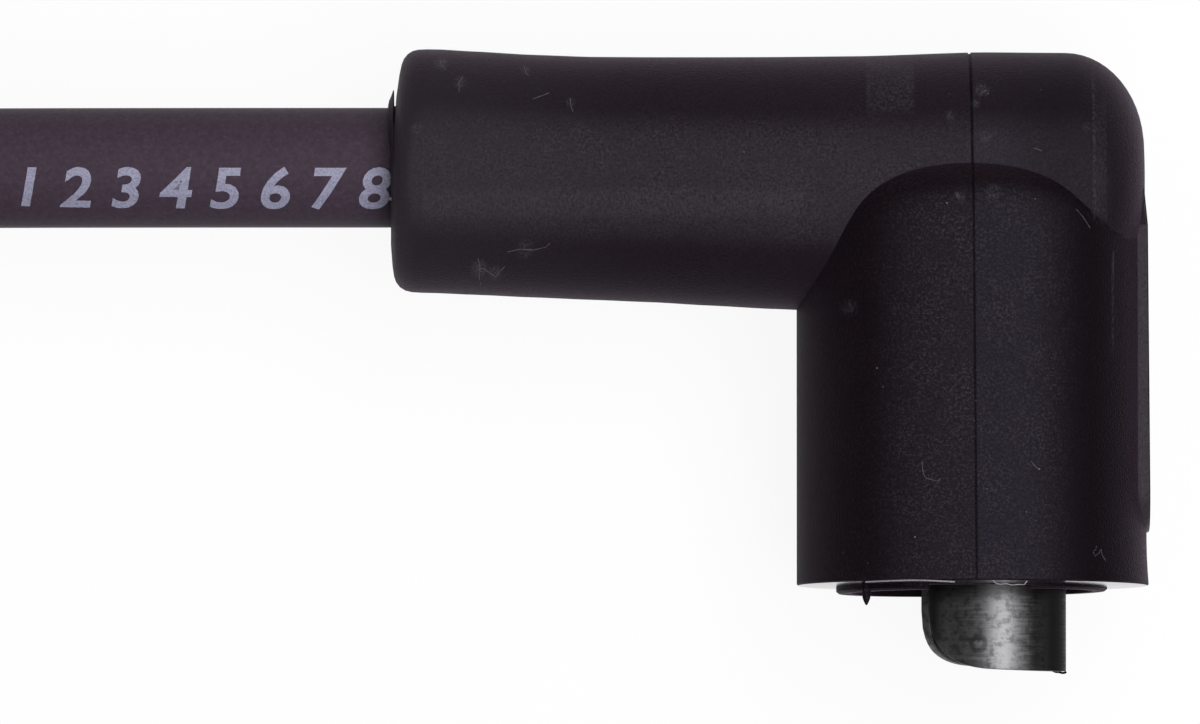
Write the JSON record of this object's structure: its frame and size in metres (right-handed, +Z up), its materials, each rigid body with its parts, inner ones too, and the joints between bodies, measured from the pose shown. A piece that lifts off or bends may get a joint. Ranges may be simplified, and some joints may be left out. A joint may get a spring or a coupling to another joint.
{
  "type": "spark plug wire",
  "caption": "Ignition lead with a right-angle rubber boot on its coil end, a straight rubber boot on its plug end and the spare lead coiled flat.",
  "frame": {"origin": "under the middle of the coil end, which is the right-angle boot, its terminal and the lead end in it, on the surface that the wire lies on", "axes": "+X along the boot's leg, from the lead's mouth to the tower; -Y down the tower, to the coil post; +Z up from the surface"},
  "size_m": [0.1597, 0.0943, 0.0204],
  "materials": {
    "boot_rubber": "moulded, fine leathery grain",
    "lead_jacket": "smooth extruded, satin",
    "lead_insulation": "matt",
    "lead_core": "matt plait",
    "terminal_sheet": "tinned sheet, fine scratches",
    "spring_wire": "drawn wire"
  },
  "bodies": {
    "root": {"elbow_boot": "boot_rubber", "coil_terminal": "terminal_sheet", "lead_jacket_coil_end": "lead_jacket", "lead_insulation_coil_end": "lead_insulation", "lead_core_coil_end": "lead_core", "lead_near": "lead_jacket", "lead_coil": "lead_jacket", "lead_far": "lead_jacket", "plug_boot": "boot_rubber", "plug_terminal": "terminal_sheet", "plug_terminal_clip": "spring_wire", "lead_jacket_plug_end": "lead_jacket", "lead_insulation_plug_end": "lead_insulation", "lead_core_plug_end": "lead_core"}
  },
  "joints": []
}
